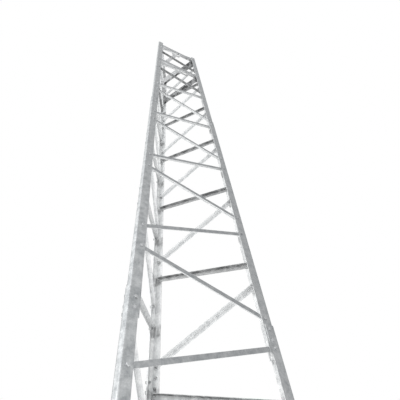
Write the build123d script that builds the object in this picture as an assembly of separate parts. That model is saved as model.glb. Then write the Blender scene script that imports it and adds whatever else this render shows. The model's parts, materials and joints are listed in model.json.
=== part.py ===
from build123d import *
import os
from math import atan, cos, radians, sin

# A three-legged lattice tower of galvanised steel, bolted together from sections.
# Each leg is a plate folded to a sixty-degree V with a flat nose.  The legs of each
# section slip inside the legs of the section below.  Single angle bars zigzag up
# each side, bolted to the inner faces of the leg flanges.  Two folded shelves brace
# the top section and would carry a mast.
# Millimetres, +Z up.  Origin: the tower's axis at the underside of its feet.
# The front side faces -Y, between the left and the right leg.

# Overall
SECTIONS = 3                # legs and bars are bolted up from this many sections
SECTION_PITCH = 3048.0      # from seam to seam, ten feet
PANELS = 3                  # zigzag panels in each section
LEG_RADIUS = 644.0          # axis to the sharp outer corner of a bottom leg, at the ground
SECTION_TAPER = 59.7        # radius that each section takes away
FIRST_PANEL = 70.0          # ground to the start of the first panel
TOP_CUT = 109.0             # the top legs stop this far short of a full section

# Folded leg
LEG_FLANGE = 94.0           # sharp corner to flange tip
LEG_NOSE = 34.5             # sharp corner to the start of the nose, on the bottom leg
LEG_THICK = 5.0
BEND_RADIUS = 4.0           # inside radius of the folds
GAUGE = 67.0                # sharp corner to the line of bolts
SPLICE_LAP = 195.0          # how far a leg reaches down inside the leg below

# Zigzag bars, equal angles
BAR_LEG = 33.0
BAR_THICK = 3.2
BAR_ROOT = 4.0              # fillet between the two legs of a bar
BAR_RISE = 350.0            # climb of a bar from corner to corner
BAR_START = 23.0            # start of a panel to the lower end of its first bar
BAR_END = 20.0              # bolt to the end of the bar
BAR_CLIP = 16.0             # corner cut off each end of the outstanding leg
BAR_HOLE = 14.0
WASHER_RADIUS = 17.0

# Shelves, folded plates inside the top section
UPPER_SHELF_DROP = 205.0    # top of the legs to the underside of the upper shelf
LOWER_SHELF_DROP = 1175.0
SHELF_THICK = 5.0
SHELF_LIP = 90.0            # height of the edges folded up against the leg flanges
SHELF_BORDER = 76.0         # plate left along the left and the right side
SHELF_FRONT = 34.0          # plate left along the front
SHELF_STRIP = 62.0          # width of the strip that crosses the opening
SHELF_STRIP_AT = 100.0      # its centre line, from the tower's axis towards the left leg
SHELF_CORNER = 50.0         # along a side, from a leg's sharp corner to the shelf
SHELF_GAP = 0.5             # between the plate's own edge and the flanges
SHELF_ROUND = 12.0          # corners of the openings
SLOT_CLEAR = 5.0            # around a zigzag bar that passes through a shelf
SLOT_NECK = 24.0            # plate left behind and beside the slot at the front

# Feet
PLATE_SIDE = 230.0
PLATE_THICK = 16.0
PLATE_CORNER = 12.0
ANCHOR_CIRCLE = 230.0       # circle through the four anchor holes of one foot
ANCHOR_HOLE = 22.0
PLATE_INSET = 42.0          # plate centre, inwards of the leg's sharp corner
SHOE_HEIGHT = 230.0
SHOE_THICK = 8.0
GUSSET_HEIGHT = 110.0
GUSSET_REACH = 52.0
GUSSET_THICK = 8.0
GUSSET_PLACE = 53.0         # along a flange, from the shoe's sharp corner to a gusset

LEG_ANGLES = {"left": 210.0, "right": 330.0, "back": 90.0}
SIDES = {"front": ("left", "right"), "right": ("right", "back"), "left": ("back", "left")}

TAPER = SECTION_TAPER / SECTION_PITCH       # radius that each millimetre of height takes away
PANEL_PITCH = SECTION_PITCH / PANELS
BAR_GAP = PANEL_PITCH / 2 - BAR_RISE        # between the bar ends that meet on a flange
SIDE_LEAN = atan(TAPER / 2)                 # of a side's plane from upright


def seam_height(number):
    """Top end of the legs of section number, counted from 1."""
    height = FIRST_PANEL + number * SECTION_PITCH
    return height - TOP_CUT if number == SECTIONS else height


def corner_radius(height, inset):
    """Axis to the sharp outer corner of a leg whose plate lies inset within the bottom leg's."""
    return LEG_RADIUS - TAPER * height - 2 * inset


def leg_profile(inset, thick):
    """The folded V, its sharp outer corner at the origin and its mouth towards -X."""
    flange_run = Vector(-cos(radians(30)), sin(radians(30)), 0)
    flange_in = Vector(-sin(radians(30)), -cos(radians(30)), 0)
    nose = LEG_NOSE - inset / cos(radians(30))
    tip = flange_run * LEG_FLANGE
    outer_fold = flange_run * nose
    inner_fold = Vector(-2 * thick, 0, 0) + flange_run * (nose - thick / cos(radians(30)))
    inner_tip = tip + flange_in * thick
    outer = FilletPolyline(mirrored(tip), mirrored(outer_fold), outer_fold, tip, radius=BEND_RADIUS + thick)
    inner = FilletPolyline(mirrored(inner_tip), mirrored(inner_fold), inner_fold, inner_tip, radius=BEND_RADIUS)
    caps = [Line(tip, inner_tip), Line(mirrored(tip), mirrored(inner_tip))]
    return make_face([outer, inner, *caps])


def mirrored(point):
    """The same point on the leg's other flange."""
    return Vector(point.X, -point.Y, 0)


def leg_prism(angle, low, high, inset, thick):
    """A leg's plate from one height to another, leaning in with the tower's taper."""
    base = Plane.XY.offset(low) * Rot(0, 0, angle) * Pos(corner_radius(low, inset), 0, 0)
    lean = Vector(-TAPER * cos(radians(angle)), -TAPER * sin(radians(angle)), 1)
    length = (high - low) * lean.length
    return extrude(base * leg_profile(inset, thick), amount=length, dir=lean)


def side_plane(side):
    """The leaning outer plane of a side: X along the side, Y up it, Z outwards."""
    start, end = (LEG_ANGLES[leg] for leg in SIDES[side])
    along = Vector(cos(radians(end)) - cos(radians(start)), sin(radians(end)) - sin(radians(start)), 0)
    along = along.normalized()
    outward = Vector(along.Y, -along.X, 0)
    normal = outward * cos(SIDE_LEAN) + Vector(0, 0, 1) * sin(SIDE_LEAN)
    return Plane(origin=outward * (LEG_RADIUS / 2), x_dir=along, z_dir=normal)


def angle_bar(length):
    """An equal angle along X, its face leg hanging from Z = 0 and its other leg inwards at the top."""
    half = length / 2
    face_leg = Pos(0, 0, -BAR_THICK / 2) * Box(length, BAR_LEG, BAR_THICK)
    outline = Polyline(
        (-half, 0), (half, 0), (half, -BAR_THICK), (half - BAR_CLIP, -BAR_LEG),
        (-half + BAR_CLIP, -BAR_LEG), (-half, -BAR_THICK), close=True,
    )
    top = Plane(origin=(0, BAR_LEG / 2, 0), x_dir=(1, 0, 0), z_dir=(0, -1, 0))
    angle = face_leg + extrude(top * make_face(outline), amount=BAR_THICK)
    root = Vector(0, BAR_LEG / 2 - BAR_THICK, -BAR_THICK)
    return fillet(angle.edges().sort_by_distance(root)[0], BAR_ROOT)


def bolt_line(start_height, end_height, inset):
    """The bolt points of one bar in its side's plane, given its heights at the two corners."""
    points = []
    for height, hand in ((start_height, -1), (end_height, 1)):
        corner = corner_radius(height, inset) * sin(radians(60))
        points.append(Vector(hand * corner, height / cos(SIDE_LEAN), 0))
    start, end = points
    gauge = (end - start) * (GAUGE / (end.X - start.X))
    return start + gauge, end - gauge


def bar_plane(bolts, seat_depth):
    """Where a bar lies in its side's plane: X along it, its face leg seated behind Z = 0."""
    start, end = bolts
    seat = Vector(0, 0, -seat_depth * cos(SIDE_LEAN))
    return Plane(origin=(start + end) * 0.5 + seat, x_dir=end - start, z_dir=(0, 0, 1))


def side_bar(bolts, seat_depth):
    """One bar of a side, in the side's plane, its face leg seated at a depth behind the plane."""
    start, end = bolts
    return bar_plane(bolts, seat_depth) * angle_bar((end - start).length + 2 * BAR_END)


def panel_bars(section, panel):
    """Bolt points and seat depths of a panel's falling and rising bar."""
    inset = (section - 1) * LEG_THICK
    low = FIRST_PANEL + (section - 1) * SECTION_PITCH + panel * PANEL_PITCH + BAR_START
    high = low + BAR_RISE + BAR_GAP
    falling = bolt_line(low + BAR_RISE, low, inset)
    rising = bolt_line(high, high + BAR_RISE, inset)
    return (falling, inset + LEG_THICK), (rising, inset + bar_packing(section, panel) + LEG_THICK)


def bar_packing(section, panel):
    """A section's last bar ends in the lap, on the leg above, so it seats one plate deeper."""
    in_lap = section < SECTIONS and panel == PANELS - 1
    return LEG_THICK if in_lap else 0.0


def side_braces(side, section):
    """All the bars of one side of one section, as solids that don't touch."""
    bars = [side_bar(*bar) for panel in range(PANELS) for bar in panel_bars(section, panel)]
    return Compound([side_plane(side).location * bar for bar in bars])


def packing_washers(section):
    """Under the lower end of each side's deeper bar, a washer as thick as a leg."""
    (start, _end), depth = panel_bars(section, PANELS - 1)[1]
    thick = LEG_THICK * cos(SIDE_LEAN)
    washer = Cylinder(WASHER_RADIUS, thick) - Cylinder(BAR_HOLE / 2, 2 * thick)
    at = Pos(*(start + Vector(0, 0, thick / 2 - depth * cos(SIDE_LEAN))))
    return Compound([side_plane(side).location * at * washer for side in SIDES])


def meet(first, second):
    """The plan point where two lines cross, each given as a bearing and its distance from the axis."""
    (turn_a, far_a), (turn_b, far_b) = first, second
    cross = sin(radians(turn_b - turn_a))
    x = (far_a * sin(radians(turn_b)) - far_b * sin(radians(turn_a))) / cross
    y = (far_b * cos(radians(turn_a)) - far_a * cos(radians(turn_b))) / cross
    return (x, y)


def area(*lines):
    """The flat face between lines that are given in order around it."""
    corners = [meet(line, after) for line, after in zip(lines, lines[1:] + lines[:1])]
    return make_face(Polyline(*corners, close=True))


def shelf_slot(bolts, seat_depth):
    """The room, in a side's plane, that one zigzag bar needs where it passes through a shelf."""
    start, end = bolts
    length = (end - start).length + 2 * (BAR_END + SLOT_CLEAR)
    deep = BAR_LEG + SLOT_CLEAR
    room = Box(length, BAR_LEG + 2 * SLOT_CLEAR, deep + 2 * SHELF_GAP)
    return bar_plane(bolts, seat_depth) * Pos(0, 0, -deep / 2) * room


def slot_pads(height, bars, seat):
    """The plate behind and beside the slot at the front, standing out into the opening."""
    pads = []
    for (start, end), _depth in bars:
        share = (height / cos(SIDE_LEAN) - start.Y) / (end.Y - start.Y)
        if 0 < share < 1:
            middle = start.X + share * (end.X - start.X)
            length = (BAR_LEG + 2 * SLOT_CLEAR) * (end - start).length / (end.Y - start.Y)
            deep = BAR_LEG + SLOT_CLEAR + SLOT_NECK
            pad = RectangleRounded(length + 2 * SLOT_NECK, deep - SHELF_GAP, SHELF_ROUND)
            pads.append(Pos(middle, (deep + SHELF_GAP) / 2 - seat) * pad)
    return pads


def shelf(drop):
    """A three-cornered plate with a crossed opening, its edges folded up, slotted for the bars."""
    height = seam_height(SECTIONS) - drop
    inset = (SECTIONS - 1) * LEG_THICK
    bars = [bar for panel in range(PANELS) for bar in panel_bars(SECTIONS, panel)]
    seat = corner_radius(height, inset) / 2 - LEG_THICK
    edge = seat - SHELF_GAP
    corner = corner_radius(height, inset) - SHELF_CORNER * cos(radians(30))
    plate = area((270, edge), (330, corner), (30, edge), (90, corner), (150, edge), (210, corner))
    front, right, left = (270, seat - SHELF_FRONT), (30, seat - SHELF_BORDER), (150, seat - SHELF_BORDER)
    near_edge = (210, SHELF_STRIP_AT - SHELF_STRIP / 2)
    far_edge = (210, SHELF_STRIP_AT + SHELF_STRIP / 2)
    for opening in (area(front, right, left, near_edge), area(front, far_edge, left)):
        plate -= fillet(opening.vertices(), SHELF_ROUND)
    plate += slot_pads(height, bars, seat)
    solid = extrude(Plane.XY.offset(height) * plate, amount=SHELF_THICK)
    length = 2 * (corner_radius(height + SHELF_LIP, inset) * sin(radians(60)) - SHELF_CORNER)
    middle = (height + SHELF_LIP / 2) / cos(SIDE_LEAN)
    outer = (inset + LEG_THICK) * cos(SIDE_LEAN)
    lip = Pos(0, middle, -outer - SHELF_THICK / 2) * Box(length, SHELF_LIP, SHELF_THICK)
    for side in SIDES:
        solid += side_plane(side).location * lip
    for side in SIDES:
        for bar in bars:
            solid -= side_plane(side).location * shelf_slot(*bar)
    return solid


def foot_frame(angle):
    """Under one leg: origin at the plate's centre on the ground, X outwards."""
    return Rot(0, 0, angle) * Pos(corner_radius(0, 0) - PLATE_INSET, 0, 0)


def foot_plate(angle):
    """A square plate set cornerwise to the tower's axis, with four anchor holes."""
    plate = extrude(Rot(0, 0, 45) * RectangleRounded(PLATE_SIDE, PLATE_SIDE, PLATE_CORNER), PLATE_THICK)
    for hole in PolarLocations(ANCHOR_CIRCLE / 2, 4):
        plate -= hole * Pos(0, 0, PLATE_THICK / 2) * Cylinder(ANCHOR_HOLE / 2, 2 * PLATE_THICK)
    return foot_frame(angle) * plate


def foot_shoe(angle):
    """The folded shoe, welded to the plate, that a bottom leg stands in."""
    return leg_prism(angle, PLATE_THICK, PLATE_THICK + SHOE_HEIGHT, -SHOE_THICK, SHOE_THICK)


def foot_gussets(angle):
    """Two triangular gussets, one welded upright against each flange of a shoe."""
    outline = Polyline((0, 0), (GUSSET_REACH, 0), (0, GUSSET_HEIGHT), close=True)
    web = Rot(90, 0, 0) * extrude(make_face(outline), GUSSET_THICK / 2, both=True)
    corner = corner_radius(PLATE_THICK, -SHOE_THICK)
    gussets = []
    for hand in (-1, 1):
        across = hand * GUSSET_PLACE * sin(radians(30))
        at = Pos(corner - GUSSET_PLACE * cos(radians(30)), across, PLATE_THICK)
        gussets.append(Rot(0, 0, angle) * at * Rot(0, 0, hand * 60) * web)
    return Compound(gussets)


def tower_parts():
    """Every named piece of the tower."""
    parts = {}
    for leg, angle in LEG_ANGLES.items():
        parts[f"foot_plate_{leg}"] = foot_plate(angle)
        parts[f"foot_shoe_{leg}"] = foot_shoe(angle)
        parts[f"foot_gussets_{leg}"] = foot_gussets(angle)
        for section in range(1, SECTIONS + 1):
            low = PLATE_THICK if section == 1 else seam_height(section - 1) - SPLICE_LAP
            inset = (section - 1) * LEG_THICK
            parts[f"leg_{leg}_{section}"] = leg_prism(angle, low, seam_height(section), inset, LEG_THICK)
    for section in range(1, SECTIONS + 1):
        for side in SIDES:
            parts[f"braces_{side}_{section}"] = side_braces(side, section)
        if section < SECTIONS:
            parts[f"packing_washers_{section}"] = packing_washers(section)
    parts["top_shelf_upper"] = shelf(UPPER_SHELF_DROP)
    parts["top_shelf_lower"] = shelf(LOWER_SHELF_DROP)
    return parts


os.makedirs("parts", exist_ok=True)
for name, shape in tower_parts().items():
    shape.label = name
    export_step(shape, f"parts/{name}.step")
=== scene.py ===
import json
import math

import bmesh
import bpy
from mathutils import Matrix, Vector
from mathutils.bvhtree import BVHTree

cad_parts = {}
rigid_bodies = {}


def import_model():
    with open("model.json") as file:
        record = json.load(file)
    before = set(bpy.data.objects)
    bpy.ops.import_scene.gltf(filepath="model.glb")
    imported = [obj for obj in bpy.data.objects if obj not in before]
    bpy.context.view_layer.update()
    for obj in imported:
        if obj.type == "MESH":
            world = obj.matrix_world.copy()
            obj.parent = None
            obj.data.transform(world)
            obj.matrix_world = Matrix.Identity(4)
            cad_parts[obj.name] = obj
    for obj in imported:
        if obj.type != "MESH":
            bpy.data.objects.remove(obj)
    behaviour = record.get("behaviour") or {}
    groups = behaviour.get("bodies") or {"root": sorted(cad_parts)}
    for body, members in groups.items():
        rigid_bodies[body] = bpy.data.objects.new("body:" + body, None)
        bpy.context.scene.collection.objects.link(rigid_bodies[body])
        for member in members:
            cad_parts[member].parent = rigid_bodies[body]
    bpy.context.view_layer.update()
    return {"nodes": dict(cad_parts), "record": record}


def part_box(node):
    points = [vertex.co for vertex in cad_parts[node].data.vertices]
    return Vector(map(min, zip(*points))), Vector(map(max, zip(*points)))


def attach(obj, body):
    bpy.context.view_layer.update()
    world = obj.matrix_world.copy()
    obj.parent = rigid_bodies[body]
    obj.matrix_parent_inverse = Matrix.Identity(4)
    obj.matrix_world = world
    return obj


# A three-legged lattice tower of galvanised steel, bolted up from three sections.
# The sections of this script follow the way it is put up: feet, legs, zigzag bars,
# shelves, and then the bolts that hold them together.

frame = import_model()
nodes = frame["nodes"]
MM = 0.001  # the frame is in metres


# ---------------------------------------------------------------- base plates
# Each foot stands on a thick square plate, flame-cut, drilled and dipped in zinc.
# Thick steel cools slowly in the bath, so its zinc is a duller grey than the legs'.

def linear(hex_colour):
    """An sRGB hex colour as linear RGBA."""
    channels = [int(hex_colour[start:start + 2], 16) / 255 for start in (1, 3, 5)]
    return [c / 12.92 if c <= 0.04045 else ((c + 0.055) / 1.055) ** 2.4 for c in channels] + [1]


def add(tree, kind, settings=None, links=None):
    """Adds a node. Settings are its own or its inputs' values, links are what feeds its inputs."""
    node = tree.nodes.new(kind)
    for name, value in (settings or {}).items():
        if isinstance(name, str) and hasattr(node, name):
            setattr(node, name, value)
        else:
            node.inputs[name].default_value = value
    for name, source in (links or {}).items():
        tree.links.new(source, node.inputs[name])
    return node


def galvanised(name, light, dull, bloom_and_shading, spangle_mm, mottle_mm, roughness, dark_bands_below=()):
    """Hot-dipped zinc: grains that catch the light unlike each other, cloudy grey patina and fine grit.
    Faces that point out or up are duller and more metallic. Those that point in or down take a second colour:
    a pale chalky coat with painted light on the steel, painted shade on the bolts.
    Darker blotches lie in a band just below each of the given heights. The grit is drawn coarser than it is,
    to show."""
    material = bpy.data.materials.new(name)
    material.use_nodes = True
    tree = material.node_tree
    tree.nodes.clear()
    where = add(tree, "ShaderNodeTexCoord").outputs
    place = where["Object"]
    spangle = add(tree, "ShaderNodeTexVoronoi", {"Scale": 1 / (spangle_mm * MM)}, {"Vector": place})
    grain = add(tree, "ShaderNodeSeparateColor", {}, {0: spangle.outputs["Color"]})
    mottle = add(tree, "ShaderNodeTexNoise", {"Scale": 1 / (mottle_mm * MM), "Detail": 4, "Roughness": 0.6},
                 {"Vector": place})
    drawn_out = add(tree, "ShaderNodeMapping", {"Scale": (1, 1, 0.05)}, {"Vector": place})
    streak = add(tree, "ShaderNodeTexNoise", {"Scale": 1 / (14 * MM), "Detail": 2},
                 {"Vector": drawn_out.outputs[0]})
    grains = add(tree, "ShaderNodeMath", {"operation": "MULTIPLY_ADD", 1: 0.12},
                 {0: grain.outputs[0], 2: mottle.outputs["Fac"]})
    cloud = add(tree, "ShaderNodeMath", {"operation": "MULTIPLY_ADD", 1: 0.2},
                {0: streak.outputs["Fac"], 2: grains.outputs[0]}).outputs[0]
    height = add(tree, "ShaderNodeSeparateXYZ", {}, {0: place})
    for seam in dark_bands_below:
        near = add(tree, "ShaderNodeMapRange", {"From Min": seam - 160 * MM, "From Max": seam - 50 * MM},
                   {"Value": height.outputs["Z"]})
        under = add(tree, "ShaderNodeMapRange",
                    {"From Min": seam + 20 * MM, "From Max": seam - 10 * MM, "To Max": 0.07},
                    {"Value": height.outputs["Z"]})
        cloud = add(tree, "ShaderNodeMath", {"operation": "MULTIPLY_ADD"},
                    {0: near.outputs[0], 1: under.outputs[0], 2: cloud}).outputs[0]
    patina = add(tree, "ShaderNodeMapRange", {"From Min": 0.45, "From Max": 0.9}, {"Value": cloud})
    flat = add(tree, "ShaderNodeCombineXYZ", {}, {"X": height.outputs["X"], "Y": height.outputs["Y"]})
    away = add(tree, "ShaderNodeVectorMath", {"operation": "NORMALIZE"}, {0: flat.outputs[0]})
    out_and_up = add(tree, "ShaderNodeVectorMath", {"operation": "ADD", 1: (0, 0, 1)}, {0: away.outputs[0]})
    outwardness = add(tree, "ShaderNodeVectorMath", {"operation": "DOT_PRODUCT"},
                  {0: where["Normal"], 1: out_and_up.outputs[0]})
    outward_share = add(tree, "ShaderNodeMapRange", {"From Min": -0.25, "From Max": 0.25},
                 {"Value": outwardness.outputs["Value"]})
    # Faces that point in or down are painted in the second colour: a pale coat and painted light on the
    # steel, painted shade on the bolts.
    bloom_and_shading_tone = add(tree, "ShaderNodeMix", {"data_type": "RGBA", 6: linear(bloom_and_shading), 7: linear(light)},
                {0: patina.outputs[0]})
    aged = add(tree, "ShaderNodeMix", {"data_type": "RGBA", 6: linear(light), 7: linear(dull)},
               {0: patina.outputs[0]})
    colour = add(tree, "ShaderNodeMix", {"data_type": "RGBA"},
                 {0: outward_share.outputs[0], 6: bloom_and_shading_tone.outputs[2], 7: aged.outputs[2]})
    matt = add(tree, "ShaderNodeMapRange", {"To Min": roughness - 0.08, "To Max": roughness + 0.1},
               {"Value": patina.outputs[0]})
    bare = add(tree, "ShaderNodeMapRange", {"To Min": 0.3, "To Max": 1.0}, {"Value": outward_share.outputs[0]})
    grit = add(tree, "ShaderNodeTexNoise", {"Scale": 1 / (2.5 * MM), "Detail": 3}, {"Vector": place})
    bump = add(tree, "ShaderNodeBump", {"Strength": 0.1, "Distance": 0.3 * MM},
               {"Height": grit.outputs["Fac"]})
    surface = add(tree, "ShaderNodeBsdfPrincipled", {},
                  {"Base Color": colour.outputs[2], "Metallic": bare.outputs[0], "Roughness": matt.outputs[0],
                   "Normal": bump.outputs[0]})
    add(tree, "ShaderNodeOutputMaterial", {}, {"Surface": surface.outputs[0]})
    return material


def finish_nodes(names, material):
    """Gives the CAD nodes of these names one material."""
    for name in names:
        nodes[name].data.materials.clear()
        nodes[name].data.materials.append(material)


LEGS = ("left", "right", "back")
plate_zinc = galvanised("galvanised_plate", light="#B4B6B7", dull="#84878A", bloom_and_shading="#CFD0D0",
                        spangle_mm=9, mottle_mm=60, roughness=0.55)
finish_nodes([f"foot_{part}_{leg}" for part in ("plate", "shoe", "gussets") for leg in LEGS], plate_zinc)


# ---------------------------------------------------------------- weld beads
# Shoes and gussets are arc-welded to the plates before dipping, in short overlapping ripples.
# The zinc lies thicker and smoother over the weld metal.

bead_zinc = galvanised("galvanised_weld", light="#BFC1C2", dull="#8D9092", bloom_and_shading="#D5D6D6",
                       spangle_mm=5, mottle_mm=20, roughness=0.42)

weld_bead = bpy.data.node_groups.new("weld_bead", "GeometryNodeTree")
weld_bead.interface.new_socket("Seams", in_out="INPUT", socket_type="NodeSocketGeometry")
for socket_name in ("Bead Radius", "Ripple Pitch", "Ripple Depth"):
    weld_bead.interface.new_socket(socket_name, in_out="INPUT", socket_type="NodeSocketFloat")
weld_bead.interface.new_socket("Finish", in_out="INPUT", socket_type="NodeSocketMaterial")
weld_bead.interface.new_socket("Beads", in_out="OUTPUT", socket_type="NodeSocketGeometry")
given = add(weld_bead, "NodeGroupInput").outputs
seam_line = add(weld_bead, "GeometryNodeMeshToCurve", {}, {"Mesh": given["Seams"]})
steps = add(weld_bead, "GeometryNodeResampleCurve", {"mode": "LENGTH"},
            {"Curve": seam_line.outputs[0], "Length": given["Ripple Pitch"]})
swell = add(weld_bead, "FunctionNodeRandomValue", {"data_type": "FLOAT", 3: 1.0, "Seed": 11},
            {2: given["Ripple Depth"]})
rippled = add(weld_bead, "GeometryNodeSetCurveRadius", {},
              {"Curve": steps.outputs[0], "Radius": swell.outputs[1]})
round_section = add(weld_bead, "GeometryNodeCurvePrimitiveCircle", {"Resolution": 8},
                    {"Radius": given["Bead Radius"]})
swept = add(weld_bead, "GeometryNodeCurveToMesh", {"Fill Caps": True},
            {"Curve": rippled.outputs[0], "Profile Curve": round_section.outputs[0]})
finished = add(weld_bead, "GeometryNodeSetMaterial", {},
               {"Geometry": swept.outputs[0], "Material": given["Finish"]})
add(weld_bead, "NodeGroupOutput", {}, {0: finished.outputs[0]})


def grown(name, seed_mesh, tree, values, slot):
    """The plain mesh that a Geometry Nodes tree makes of seed_mesh, as a piece of the tower."""
    scene_objects = bpy.context.scene.collection.objects
    holder = bpy.data.objects.new(name + "_seed", seed_mesh)
    scene_objects.link(holder)
    modifier = holder.modifiers.new("grow", "NODES")
    modifier.node_group = tree
    for socket in tree.interface.items_tree:
        if socket.in_out == "INPUT" and socket.name in values:
            modifier[socket.identifier] = values[socket.name]
    graph = bpy.context.evaluated_depsgraph_get()
    mesh = bpy.data.meshes.new_from_object(holder.evaluated_get(graph))
    mesh.name = name
    bpy.data.objects.remove(holder)
    piece = bpy.data.objects.new(name, mesh)
    scene_objects.link(piece)
    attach(piece, "root")
    return piece


def welded(node_name):
    """A CAD node's mesh with the vertices joined that its import had split."""
    shape = bmesh.new()
    shape.from_mesh(nodes[node_name].data)
    bmesh.ops.remove_doubles(shape, verts=shape.verts, dist=0.01 * MM)
    return shape


def seam_mesh(name, lines):
    """A mesh of separate two-point edges."""
    mesh = bpy.data.meshes.new(name)
    points = [tuple(point) for line in lines for point in line]
    mesh.from_pydata(points, [(start, start + 1) for start in range(0, len(points), 2)], [])
    return mesh


BEAD = {"Bead Radius": 3.2 * MM, "Ripple Pitch": 3.5 * MM, "Ripple Depth": 0.72, "Finish": bead_zinc}
ON_PLATE = 0.1 * MM
SHORTEST_UPRIGHT = 60 * MM
OUT_OF_PLUMB = 5 * MM
for leg in LEGS:
    plate_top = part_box(f"foot_plate_{leg}")[1][2]
    lines = []
    for node_name in (f"foot_shoe_{leg}", f"foot_gussets_{leg}"):
        shape = welded(node_name)
        for edge in shape.edges:
            ends = [vertex.co.copy() for vertex in edge.verts]
            rise = ends[1] - ends[0]
            on_plate = all(abs(end.z - plate_top) < ON_PLATE for end in ends)
            outline = any(face.normal.z > -0.9 for face in edge.link_faces)
            plumb = abs(rise.z) > SHORTEST_UPRIGHT and rise.xy.length < OUT_OF_PLUMB
            if (on_plate and outline) or ("gussets" in node_name and plumb):
                lines.append(ends)
        shape.free()
    grown(f"weld_beads_{leg}", seam_mesh(f"welds_{leg}", lines), weld_bead, BEAD, "foot")


# ---------------------------------------------------------------- legs
# Each leg length is steel plate folded to a V with a flat nose, dipped after folding.
# The zinc is even and pale and streaked by rain. It is darker in a band just below each splice, and shadows
# of the bars' ends are painted in streaks inside the legs.

SECTIONS = (1, 2, 3)
PANELS_PER_SECTION = 3
seams = [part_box(f"leg_left_{section}")[1][2] for section in SECTIONS[:-1]]
panel = (seams[1] - seams[0]) / PANELS_PER_SECTION
leg_zinc = galvanised("galvanised_folded_plate", light="#C2C4C5", dull="#9A9D9F", bloom_and_shading="#EAEBEB",
                      spangle_mm=7, mottle_mm=45, roughness=0.5, dark_bands_below=seams)


def overpainted(material, colour, mask):
    """Lays one colour over a finished material, as thickly as mask(tree, place, normal) says."""
    tree = material.node_tree
    surface = next(node for node in tree.nodes if node.type == "BSDF_PRINCIPLED")
    clean = surface.inputs["Base Color"].links[0].from_socket
    where = next(node for node in tree.nodes if node.type == "TEX_COORD").outputs
    cover = mask(tree, where["Object"], where["Normal"])
    mixed = add(tree, "ShaderNodeMix", {"data_type": "RGBA", 7: linear(colour)}, {0: cover, 6: clean})
    tree.links.new(mixed.outputs[2], surface.inputs["Base Color"])


def blotches(tree, place, size_mm):
    """Patches of about one size, between nothing and full."""
    noise = add(tree, "ShaderNodeTexNoise", {"Scale": 1 / (size_mm * MM), "Detail": 3, "Roughness": 0.65},
                {"Vector": place})
    patches = add(tree, "ShaderNodeMapRange", {"From Min": 0.38, "From Max": 0.6},
                  {"Value": noise.outputs["Fac"]})
    return patches.outputs[0]


def overlap(tree, *masks):
    """How far several masks hold at once."""
    shared = masks[0]
    for mask in masks[1:]:
        shared = add(tree, "ShaderNodeMath", {"operation": "MULTIPLY"}, {0: shared, 1: mask}).outputs[0]
    return shared


def painted_shadows_below_joints(tree, place, normal):
    """Painted shadows in streaks inside the legs, below each bar's end."""
    parts = add(tree, "ShaderNodeSeparateXYZ", {}, {0: place}).outputs
    joints = add(tree, "ShaderNodeMath",
                 {"operation": "MULTIPLY_ADD", 1: 2 / panel, 2: -2 * seams[0] / panel + 20},
                 {0: parts["Z"]})
    share = add(tree, "ShaderNodeMath", {"operation": "FRACT"}, {0: joints.outputs[0]}).outputs[0]
    starts = add(tree, "ShaderNodeMapRange", {"From Min": 0.56, "From Max": 0.6}, {"Value": share}).outputs[0]
    ends = add(tree, "ShaderNodeMapRange", {"From Min": 0.8, "From Max": 0.76}, {"Value": share}).outputs[0]
    flat = add(tree, "ShaderNodeCombineXYZ", {}, {"X": parts["X"], "Y": parts["Y"]}).outputs[0]
    turned_in = add(tree, "ShaderNodeVectorMath", {"operation": "DOT_PRODUCT"}, {0: flat, 1: normal})
    inside = add(tree, "ShaderNodeMapRange", {"From Min": 0.0, "From Max": -0.1, "To Max": 0.7},
                 {"Value": turned_in.outputs["Value"]}).outputs[0]
    drawn_out = add(tree, "ShaderNodeMapping", {"Scale": (1, 1, 0.2)}, {"Vector": place}).outputs[0]
    streaks = blotches(tree, drawn_out, 25)
    return overlap(tree, starts, ends, inside, streaks)


# Painted shadows of the bars' ends, on the inner faces of the legs.
overpainted(leg_zinc, "#5E5F60", painted_shadows_below_joints)
finish_nodes([f"leg_{leg}_{section}" for leg in LEGS for section in SECTIONS], leg_zinc)


# ---------------------------------------------------------------- zigzag bars
# Equal angles, rolled, cropped and drilled, then dipped. Thin steel leaves a bright zinc with small
# grains. Some bars are darker in patches, most on their undersides: the second bars on the right side,
# the first bars near the top on the others.

ANGLE_ZINC = {"light": "#B4B6B7", "dull": "#909396", "bloom_and_shading": "#D6D7D7",
              "spangle_mm": 6, "mottle_mm": 40, "roughness": 0.52}
bar_zinc = galvanised("galvanised_rolled_angle", **ANGLE_ZINC)
darkened_angle_zinc = galvanised("galvanised_rolled_angle_darkened", **ANGLE_ZINC)


def facing_down(tree, normal):
    """Full on undersides and nothing on upright faces."""
    tilt = add(tree, "ShaderNodeSeparateXYZ", {}, {0: normal}).outputs["Z"]
    return add(tree, "ShaderNodeMapRange", {"From Min": -0.2, "From Max": -0.8}, {"Value": tilt}).outputs[0]


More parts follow.
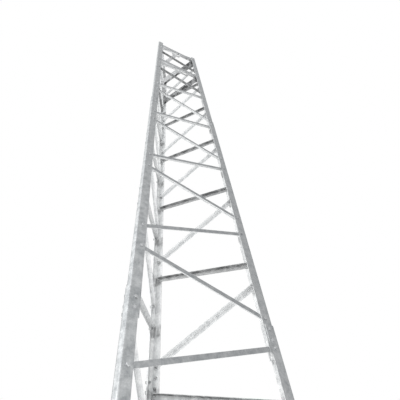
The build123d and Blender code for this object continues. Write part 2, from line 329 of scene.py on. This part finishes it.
def on_bars(second, lowest, thickness):
    """Darker patches on the first or second bar of every panel above a height, most on the undersides, clear
    of the back leg.
    """
    def mask(tree, place, normal):
        height = add(tree, "ShaderNodeSeparateXYZ", {}, {0: place}).outputs["Z"]
        panels = add(tree, "ShaderNodeMath",
                     {"operation": "MULTIPLY_ADD", 1: 1 / panel, 2: -seams[0] / panel + 10}, {0: height})
        share = add(tree, "ShaderNodeMath", {"operation": "FRACT"}, {0: panels.outputs[0]}).outputs[0]
        compare = "GREATER_THAN" if second else "LESS_THAN"
        which = add(tree, "ShaderNodeMath", {"operation": compare, 1: 0.45}, {0: share}).outputs[0]
        above = add(tree, "ShaderNodeMath", {"operation": "GREATER_THAN", 1: lowest}, {0: height}).outputs[0]
        under = add(tree, "ShaderNodeMapRange", {"To Min": 0.4, "To Max": thickness},
                    {"Value": facing_down(tree, normal)}).outputs[0]
        patches = blotches(tree, place, 60)
        patchy = add(tree, "ShaderNodeMapRange", {"To Min": 0.6}, {"Value": patches}).outputs[0]
        towards_back = add(tree, "ShaderNodeVectorMath",
                           {"operation": "DOT_PRODUCT", 1: (-0.5, 0.866, 0.017)}, {0: place}).outputs["Value"]
        clear = add(tree, "ShaderNodeMapRange", {"From Min": 530 * MM, "From Max": 440 * MM},
                    {"Value": towards_back}).outputs[0]
        return overlap(tree, which, above, under, patchy, clear)
    return mask


ANGLE_DARKENING = "#444546"
overpainted(darkened_angle_zinc, ANGLE_DARKENING, on_bars(second=True, lowest=0, thickness=0.95))
overpainted(bar_zinc, ANGLE_DARKENING, on_bars(second=False, lowest=7100 * MM, thickness=0.85))
finish_nodes([name for name in nodes if name.startswith("braces_right_")], darkened_angle_zinc)
finish_nodes([name for name in nodes if name.startswith(("braces_front_", "braces_left_"))], bar_zinc)


# ---------------------------------------------------------------- shelves and packing
# The two shelves are cut and folded from plate, the packing washers are cut from bar. All are dipped.
# The undersides of the shelves are darker in patches, most towards the right-hand side.

shelf_zinc = galvanised("galvanised_shelf_plate", light="#C2C4C5", dull="#9A9D9F", bloom_and_shading="#C6C7C8",
                        spangle_mm=8, mottle_mm=45, roughness=0.5)


def shelf_undersides(tree, place, normal):
    """Undersides, darker towards the right-hand side of the tower."""
    across = add(tree, "ShaderNodeVectorMath", {"operation": "DOT_PRODUCT", 1: (0.866, 0.5, 0)}, {0: place})
    darker = add(tree, "ShaderNodeMapRange",
                 {"From Min": -150 * MM, "From Max": 200 * MM, "To Min": 0.25, "To Max": 1.0},
                 {"Value": across.outputs["Value"]}).outputs[0]
    patchy = add(tree, "ShaderNodeMapRange", {"To Min": 0.5}, {"Value": blotches(tree, place, 70)}).outputs[0]
    return overlap(tree, facing_down(tree, normal), darker, patchy)


overpainted(shelf_zinc, "#2C2D2E", shelf_undersides)
finish_nodes([name for name in nodes if name.startswith(("top_shelf_", "packing_"))], shelf_zinc)


# ---------------------------------------------------------------- bolts
# Every joint has hexagon bolts put in from outside, each with a washer and a nut on the inside.
# They are zinc-plated, cleaner and shinier than the dipped steel round them.

# Faces of the bolts that point in or down are painted dark: painted shade under heads, washers and nuts.
bolt_zinc = galvanised("zinc_plated_bolt", light="#D0D2D3", dull="#A6A8AA", bloom_and_shading="#505152",
                       spangle_mm=3, mottle_mm=15, roughness=0.38)

hex_fastener = bpy.data.node_groups.new("hex_fastener", "GeometryNodeTree")
hex_fastener.interface.new_socket("Places", in_out="INPUT", socket_type="NodeSocketGeometry")
for socket_name in ("Across Flats", "Height", "Chamfer", "Washer Radius", "Washer Thickness", "Thread Radius",
                    "Thread Length"):
    hex_fastener.interface.new_socket(socket_name, in_out="INPUT", socket_type="NodeSocketFloat")
hex_fastener.interface.new_socket("Seed", in_out="INPUT", socket_type="NodeSocketInt")
hex_fastener.interface.new_socket("Finish", in_out="INPUT", socket_type="NodeSocketMaterial")
hex_fastener.interface.new_socket("Fasteners", in_out="OUTPUT", socket_type="NodeSocketGeometry")
given = add(hex_fastener, "NodeGroupInput").outputs
stack = add(hex_fastener, "GeometryNodeJoinGeometry")


def stacked(sides, low_radius, high_radius, start, depth):
    """A prism or frustum that starts at a height above the seat."""
    body = add(hex_fastener, "GeometryNodeMeshCone", {"Vertices": sides},
               {"Radius Bottom": low_radius, "Radius Top": high_radius, "Depth": depth})
    lift = add(hex_fastener, "ShaderNodeCombineXYZ", {}, {"Z": start})
    moved = add(hex_fastener, "GeometryNodeTransform", {},
                {"Geometry": body.outputs["Mesh"], "Translation": lift.outputs[0]})
    hex_fastener.links.new(moved.outputs[0], stack.inputs[0])


seat = add(hex_fastener, "ShaderNodeValue").outputs[0]
to_corner = 0.5 / math.cos(math.radians(30))
corner_radius = add(hex_fastener, "ShaderNodeMath", {"operation": "MULTIPLY", 1: to_corner},
                    {0: given["Across Flats"]}).outputs[0]
crown = add(hex_fastener, "ShaderNodeMath", {"operation": "MULTIPLY", 1: 0.86}, {0: corner_radius}).outputs[0]
full = add(hex_fastener, "ShaderNodeMath", {"operation": "ADD"},
           {0: given["Washer Thickness"], 1: given["Height"]}).outputs[0]
thread_end = add(hex_fastener, "ShaderNodeMath", {"operation": "ADD"},
                 {0: full, 1: given["Thread Length"]}).outputs[0]
WASHER_SIDES = 18
THREAD_SIDES = 10
HEX = 6
stacked(WASHER_SIDES, given["Washer Radius"], given["Washer Radius"], seat, given["Washer Thickness"])
stacked(HEX, corner_radius, corner_radius, given["Washer Thickness"], given["Height"])
stacked(HEX, corner_radius, crown, full, given["Chamfer"])
stacked(THREAD_SIDES, given["Thread Radius"], given["Thread Radius"], seat, thread_end)
facing = add(hex_fastener, "GeometryNodeInputNamedAttribute", {"data_type": "FLOAT_VECTOR", "Name": "axis"})
upright = add(hex_fastener, "FunctionNodeAlignRotationToVector", {"axis": "Z"}, {"Vector": facing.outputs[0]})
turn_angle = add(hex_fastener, "FunctionNodeRandomValue", {"data_type": "FLOAT", 3: math.tau},
                 {"Seed": given["Seed"]})
spin = add(hex_fastener, "FunctionNodeAxisAngleToRotation", {"Axis": (0, 0, 1)},
           {"Angle": turn_angle.outputs[1]})
turned = add(hex_fastener, "FunctionNodeRotateRotation", {"rotation_space": "LOCAL"},
             {"Rotation": upright.outputs[0], "Rotate By": spin.outputs[0]})
spread = add(hex_fastener, "GeometryNodeInstanceOnPoints", {},
             {"Points": given["Places"], "Instance": stack.outputs[0], "Rotation": turned.outputs[0]})
solid = add(hex_fastener, "GeometryNodeRealizeInstances", {}, {0: spread.outputs[0]})
finished = add(hex_fastener, "GeometryNodeSetMaterial", {},
               {"Geometry": solid.outputs[0], "Material": given["Finish"]})
add(hex_fastener, "NodeGroupOutput", {}, {0: finished.outputs[0]})

# A head hides its bolt's thread, which ends inside it, so that its length is below nothing.
HEAD = {"Across Flats": 19 * MM, "Height": 6.5 * MM, "Chamfer": 1.2 * MM, "Washer Radius": 12.5 * MM,
        "Washer Thickness": 2.2 * MM, "Thread Radius": 6 * MM, "Thread Length": -2 * MM, "Finish": bolt_zinc}
NUT = {**HEAD, "Height": 9 * MM, "Washer Radius": 9.6 * MM, "Thread Length": 7 * MM}
ANCHOR = {**HEAD, "Across Flats": 30 * MM, "Height": 15 * MM, "Chamfer": 2 * MM, "Washer Radius": 19 * MM,
          "Washer Thickness": 3 * MM, "Thread Radius": 10 * MM, "Thread Length": 24 * MM}


def fasteners(name, places, sizes, seed, slot):
    """Hexagon fasteners on (point, axis) places."""
    mesh = bpy.data.meshes.new(name + "_places")
    mesh.from_pydata([tuple(point) for point, _axis in places], [], [])
    axis = mesh.attributes.new("axis", "FLOAT_VECTOR", "POINT")
    axis.data.foreach_set("vector", [part for _point, way in places for part in way])
    return grown(name, mesh, hex_fastener, {**sizes, "Seed": seed}, slot)


steel = bmesh.new()
for name in nodes:
    if not name.startswith("foot_plate"):
        steel.from_mesh(nodes[name].data)
steel_surface = BVHTree.FromBMesh(steel)
steel.free()

LOOK_FROM_OUTSIDE = 60 * MM
LOOK_FROM_INSIDE = 14 * MM


def bolt_through(point, normal):
    """Seats for a head and a nut where a bolt's line, through a point in the joint, leaves the steel."""
    outside, out_normal = steel_surface.ray_cast(point + normal * LOOK_FROM_OUTSIDE, -normal)[:2]
    inside, in_normal = steel_surface.ray_cast(point - normal * LOOK_FROM_INSIDE, normal)[:2]
    return (outside, out_normal), (inside, in_normal)


def separate_bars(shape):
    """The bars of a node, each as a list of vertices. Bars and vertices keep the mesh's own order,
    so that the turn which chance gives a bolt is the same on every run."""
    unseen = list(shape.verts)
    while unseen:
        joined = set()
        front = {unseen[0]}
        while front:
            joined |= front
            front = {edge.other_vert(vertex) for vertex in front for edge in vertex.link_edges} - joined
        yield [vertex for vertex in unseen if vertex in joined]
        unseen = [vertex for vertex in unseen if vertex not in joined]


SIDE_BEARING = {"front": 270, "right": 30, "left": 150}
BOLT_FROM_END = 20 * MM
SQUARE_ON = 0.95
gauge = {}
for side, bearing in SIDE_BEARING.items():
    outward = Vector((math.cos(math.radians(bearing)), math.sin(math.radians(bearing)), 0))
    along_side = Vector((-outward.y, outward.x, 0))
    heads, nuts = [], []
    for section in SECTIONS:
        shape = welded(f"braces_{side}_{section}")
        for bar in separate_bars(shape):
            flat = [face for face in shape.faces
                    if face.verts[0] in bar and face.normal.dot(outward) > SQUARE_ON]
            corners = [vertex for vertex in bar if any(face in flat for face in vertex.link_faces)]
            normal = max(flat, key=lambda face: face.calc_area()).normal.copy()
            middle = sum((vertex.co for vertex in corners), Vector()) / len(corners)
            start = min(corners, key=lambda vertex: vertex.co.dot(along_side)).co
            # The farthest corner lies across the flat. The next one ends the bar's own edge.
            edge_run = sorted((vertex.co - start for vertex in corners), key=lambda step: step.length)[-2]
            half = edge_run.normalized() * (edge_run.length / 2 - BOLT_FROM_END)
            for end, point in enumerate((middle - half, middle + half)):
                head, nut = bolt_through(point, normal)
                heads.append(head)
                nuts.append(nut)
                gauge.setdefault((side, end), []).append((point.z, point, normal))
        shape.free()
    fasteners(f"bar_bolts_{side}", heads, HEAD, 3, "brace")
    fasteners(f"bar_nuts_{side}", nuts, NUT, 4, "brace")


# ---------------------------------------------------------------- splice, shoe and shelf bolts
# They sit on the bars' gauge lines. The two flanges of a leg are drilled at staggered heights,
# so that the nuts inside the V miss each other.

def on_gauge(side, end, height):
    """The point of a flange's gauge line at a height, and the flange's normal there."""
    known = sorted(gauge[side, end])
    above = next((index for index, item in enumerate(known) if item[0] > height), len(known) - 1)
    low, high = known[max(above - 1, 0)], known[max(above, 1)]
    return low[1].lerp(high[1], (height - low[0]) / (high[0] - low[0])), low[2]


BELOW_SEAM = {0: (70 * MM, 140 * MM), 1: (30 * MM, 105 * MM)}
ABOVE_SHELF = (20 * MM, 52 * MM)
UP_THE_SHOE = (178 * MM, 222 * MM)
heads, nuts = {}, {}
for side, end in gauge:
    heights = {"splice": [seam - drop for seam in seams for drop in BELOW_SEAM[end]],
               "shelf": [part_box(f"top_shelf_{which}")[0][2] + rise for which in ("upper", "lower")
                         for rise in ABOVE_SHELF],
               "shoe": UP_THE_SHOE}
    for joint, places in heights.items():
        for height in places:
            head, nut = bolt_through(*on_gauge(side, end, height))
            heads.setdefault(joint, []).append(head)
            nuts.setdefault(joint, []).append(nut)
for joint, slot in (("splice", "leg"), ("shelf", "brace"), ("shoe", "foot")):
    fasteners(f"{joint}_bolts", heads[joint], HEAD, 5, slot)
    fasteners(f"{joint}_nuts", nuts[joint], NUT, 6, slot)


# ---------------------------------------------------------------- anchor bolts
# Threaded rods cast into the foundation hold each plate down, with one nut and washer each.

rods = []
plate_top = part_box("foot_plate_left")[1][2]
for mount in frame["record"]["mounts"]:
    if mount["name"].startswith("anchors_"):
        centre = Vector(mount["pos_m"])
        first_turn = math.atan2(centre.y, centre.x)
        count = mount["dims"]["count"]
        reach = mount["dims"]["pcd_mm"] / 2 * MM
        for step in range(count):
            turn = first_turn + step * math.tau / count
            hole = Vector((math.cos(turn) * reach, math.sin(turn) * reach, plate_top))
            rods.append((centre + hole, (0, 0, 1)))
fasteners("anchor_nuts", rods, ANCHOR, 7, "foot")


# ---------------------------------------------------------------- studio
# A plain pale floor and soft light, most of it from the left. The ground's bounce is a wide sun
# that shines up through the floor, so the floor is there for the camera only. The backdrop is plain
# white too, and the light of the sky is graded apart from it.

FLOOR_HALF_WIDTH = 240
floor_mesh = bpy.data.meshes.new("floor")
shape = bmesh.new()
bmesh.ops.create_grid(shape, x_segments=1, y_segments=1, size=FLOOR_HALF_WIDTH)
shape.to_mesh(floor_mesh)
shape.free()
floor = bpy.data.objects.new("floor", floor_mesh)
bpy.context.scene.collection.objects.link(floor)
paint = bpy.data.materials.new("pale_floor")
paint.use_nodes = True
paint.node_tree.nodes["Principled BSDF"].inputs["Base Color"].default_value = linear("#F0F0F0")
floor_mesh.materials.append(paint)
for ray in ("diffuse", "glossy", "shadow"):
    setattr(floor, "visible_" + ray, False)

world = bpy.data.worlds.new("studio")
bpy.context.scene.world = world
world.use_nodes = True
tree = world.node_tree
tree.nodes.clear()
seen = add(tree, "ShaderNodeLightPath").outputs["Is Camera Ray"]
backdrop = add(tree, "ShaderNodeBackground", {"Color": (1, 1, 1, 1), "Strength": 1.0})
direction = add(tree, "ShaderNodeTexCoord").outputs["Generated"]
rise = add(tree, "ShaderNodeSeparateXYZ", {}, {0: direction}).outputs["Z"]
facing = add(tree, "ShaderNodeVectorMath", {"operation": "DOT_PRODUCT", 1: (-0.6, -0.8, 0)},
             {0: direction}).outputs["Value"]
sideways = add(tree, "ShaderNodeMapRange", {"From Min": -1, "To Min": 0.35, "To Max": 1.32},
               {"Value": facing})
upwards = add(tree, "ShaderNodeMapRange", {"To Min": 1, "To Max": 0.5}, {"Value": rise})
strength = add(tree, "ShaderNodeMath", {"operation": "MULTIPLY"},
               {0: sideways.outputs[0], 1: upwards.outputs[0]}).outputs[0]
ambient = add(tree, "ShaderNodeBackground", {"Color": (1, 1, 1, 1)}, {"Strength": strength})
both = add(tree, "ShaderNodeMixShader", {}, {0: seen, 1: ambient.outputs[0], 2: backdrop.outputs[0]})
add(tree, "ShaderNodeOutputWorld", {}, {"Surface": both.outputs[0]})
bpy.context.scene.view_settings.view_transform = "Standard"


def soft_sun(name, bearing, elevation, strength, spread):
    """A sun that shines from a bearing and an elevation, in degrees, through a wide soft disc."""
    data = bpy.data.lights.new(name, "SUN")
    data.energy = strength
    data.angle = math.radians(spread)
    lamp = bpy.data.objects.new(name, data)
    bpy.context.scene.collection.objects.link(lamp)
    turned = Matrix.Rotation(math.radians(90 + bearing), 4, "Z")
    lamp.matrix_world = turned @ Matrix.Rotation(math.radians(90 - elevation), 4, "X")


soft_sun("key", bearing=188, elevation=32, strength=1.35, spread=60)
soft_sun("fill", bearing=262, elevation=35, strength=0.28, spread=45)
soft_sun("bounce", bearing=0, elevation=-90, strength=2.8, spread=120)

EYE = Vector((-0.9235, -1.7840, 1.7650))
FORWARD = Vector((0.27735089, 0.54666277, 0.79008626))
RIGHT = Vector((0.90464402, -0.42553973, -0.02313303))
camera_data = bpy.data.cameras.new("camera")
camera_data.sensor_width = 36
camera_data.lens = 33.007
camera_data.shift_x = 0.0571
camera_data.shift_y = 0.0329
camera_data.clip_start = 0.01
camera_data.clip_end = 500
camera = bpy.data.objects.new("camera", camera_data)
bpy.context.scene.collection.objects.link(camera)
aim = Matrix((RIGHT, RIGHT.cross(FORWARD), -FORWARD)).transposed()
camera.matrix_world = Matrix.Translation(EYE) @ aim.to_4x4()
bpy.context.scene.camera = camera
